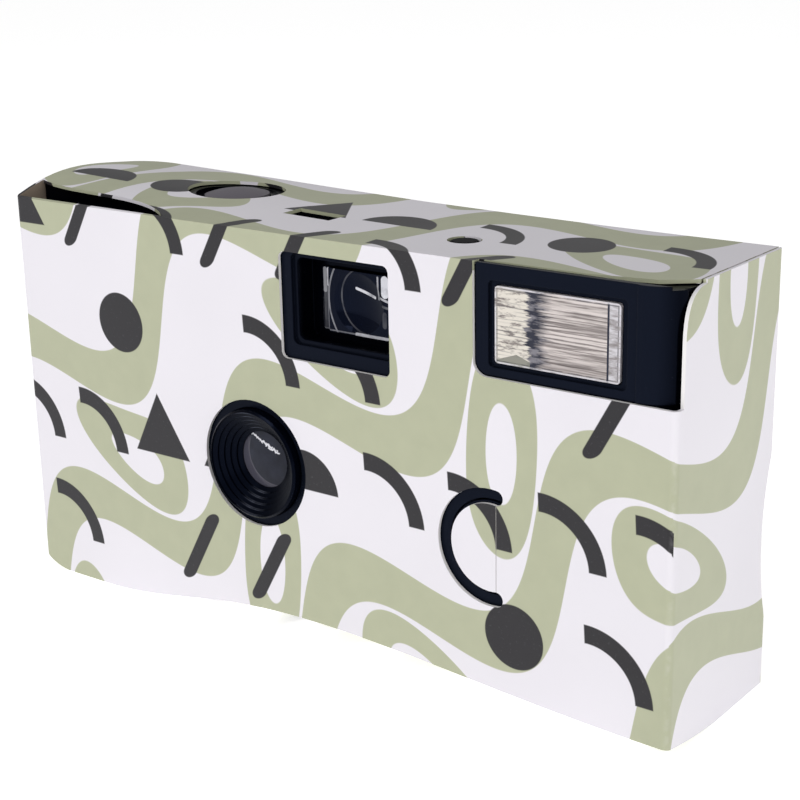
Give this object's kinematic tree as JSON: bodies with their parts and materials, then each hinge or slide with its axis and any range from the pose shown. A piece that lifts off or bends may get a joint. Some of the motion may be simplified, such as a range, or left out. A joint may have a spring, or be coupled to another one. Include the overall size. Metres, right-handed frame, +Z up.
{
  "type": "disposable film camera",
  "caption": "Disposable 35 mm film camera with flash in a folded board sleeve: viewfinder, fixed lens, thumb winding wheel, shutter button and frame counter.",
  "frame": {"origin": "middle of the footprint, on the surface that the camera stands on", "axes": "+X to the right as seen from the front, +Y back from the lens, +Z up"},
  "size_m": [0.116, 0.0318, 0.0646],
  "materials": {
    "board_print": null,
    "black_plastic": "fine moulded grain",
    "frame_plastic": "matt black inside",
    "grey_button": "soft matt grey",
    "clear_optic": "clear moulded acrylic",
    "flash_clear": "clear ribbed acrylic",
    "reflector_silver": "bright vacuum coated",
    "tube_glass": "thin glass tube",
    "steel": "rolled strip",
    "spring_steel": "drawn wire",
    "blade_black": "matt black coat",
    "cassette_metal": "plain lacquered shell",
    "cap_metal": "black lacquer",
    "film_base": "brown grey emulsion",
    "white_plastic": "plain moulded",
    "circuit_green": "green solder mask",
    "capacitor_sleeve": "dark shrink sleeve",
    "copper": "enamelled copper",
    "battery_sleeve": "plain grey sleeve",
    "nickel": "nickel plated",
    "lamp_amber": "translucent amber"
  },
  "bodies": {
    "camera_body": {"paper_sleeve": "board_print", "front_cover": "black_plastic", "rear_cover": "black_plastic", "cassette_door": "black_plastic", "lens_bezel": "black_plastic", "taking_lens": "clear_optic", "shutter_plate": "frame_plastic", "shutter_spring": "spring_steel", "striker_spring": "spring_steel", "main_frame": "frame_plastic", "cassette_shell": "cassette_metal", "cassette_cap_top": "cap_metal", "cassette_cap_bottom": "cap_metal", "film_strip": "film_base", "wheel_pawl": "spring_steel", "counter_window": "clear_optic", "button_spring": "spring_steel", "viewfinder_front_lens": "clear_optic", "viewfinder_tunnel": "frame_plastic", "viewfinder_rear_lens": "clear_optic", "flash_lens": "flash_clear", "flash_reflector": "reflector_silver", "flash_tube": "tube_glass", "switch_spring": "spring_steel", "circuit_board": "circuit_green", "circuit_screws": "steel", "transformer": "copper", "trigger_coil": "copper", "capacitor": "capacitor_sleeve", "battery": "battery_sleeve", "battery_contact_left": "nickel", "battery_contact_right": "nickel", "sync_contact": "nickel", "ready_lamp": "lamp_amber", "light_pipe": "lamp_amber"},
    "shutter_key": {"shutter_button": "grey_button"},
    "lock": {"lock_lever": "white_plastic"},
    "flash_key": {"flash_button": "black_plastic"},
    "board_tongue": {"flash_tab": "board_print"},
    "blade": {"shutter_blade": "blade_black"},
    "striker": {"striker_lever": "steel"},
    "winder": {"thumbwheel": "black_plastic", "cassette_spool": "frame_plastic"},
    "sprocket": {"sprocket_wheel": "white_plastic", "metering_cam": "white_plastic"},
    "supply": {"supply_spool": "frame_plastic", "film_roll": "film_base"},
    "counter": {"counter_dial": "white_plastic"}
  },
  "joints": [
    {"name": "winding", "type": "hinge", "parent": "camera_body", "child": "winder", "pos_m": [-0.0412, 0.00065, 0.05575], "axis": [0, 0, 1], "continuous": true},
    {"name": "sprocket_turn", "type": "hinge", "parent": "camera_body", "child": "sprocket", "pos_m": [-0.02, 0.0038, 0.0465], "axis": [0, 0, 1], "continuous": true},
    {"name": "supply_turn", "type": "hinge", "parent": "camera_body", "child": "supply", "pos_m": [0.0451, 0.00095, 0.027], "axis": [0, 0, 1], "continuous": true},
    {"name": "counter_turn", "type": "hinge", "parent": "camera_body", "child": "counter", "pos_m": [-0.0153, -0.00105, 0.0571], "axis": [0, 0, 1], "continuous": true},
    {"name": "shutter_press", "type": "slide", "parent": "camera_body", "child": "shutter_key", "axis": [0, 0, -1], "range_m": [0, 0.0012], "stiffness_N_per_m": 700, "springref_m": -0.0008, "deforming": ["button_spring"]},
    {"name": "lock_turn", "type": "hinge", "parent": "camera_body", "child": "lock", "pos_m": [-0.0248, -0.00305, 0.0504], "axis": [0, 0, 1], "range_deg": [0, 8]},
    {"name": "flash_press", "type": "slide", "parent": "camera_body", "child": "flash_key", "axis": [0, 1, 0], "range_m": [0, 0.0009], "stiffness_N_per_m": 900, "springref_m": -0.0005},
    {"name": "tongue_bend", "type": "hinge", "parent": "camera_body", "child": "board_tongue", "pos_m": [0.03196, -0.0148, 0.0232], "axis": [0, 0, -1], "range_deg": [0, 7.39]},
    {"name": "striker_swing", "type": "hinge", "parent": "camera_body", "child": "striker", "pos_m": [-0.02291, -0.00965, 0.04339], "axis": [0, -1, 0], "range_deg": [0, 30], "stiffness_Nm_per_rad": 0.002, "springref_deg": -11.46},
    {"name": "blade_swing", "type": "hinge", "parent": "camera_body", "child": "blade", "pos_m": [-0.01687, -0.0102, 0.03567], "axis": [0, 1, 0], "range_deg": [0, 35], "stiffness_Nm_per_rad": 0.001, "springref_deg": -5.73}
  ],
  "couplings": [
    {"joint": "sprocket_turn", "follows": "winding", "ratio": 1},
    {"joint": "supply_turn", "follows": "winding", "ratio": 0.8},
    {"joint": "counter_turn", "follows": "winding", "ratio": -0.033333},
    {"joint": "lock_turn", "follows": "shutter_press", "rad_per_m": 116.36},
    {"joint": "tongue_bend", "follows": "flash_press", "rad_per_m": 143.31},
    {"joint": "blade_swing", "follows": "striker_swing", "ratio": 1.1667}
  ]
}
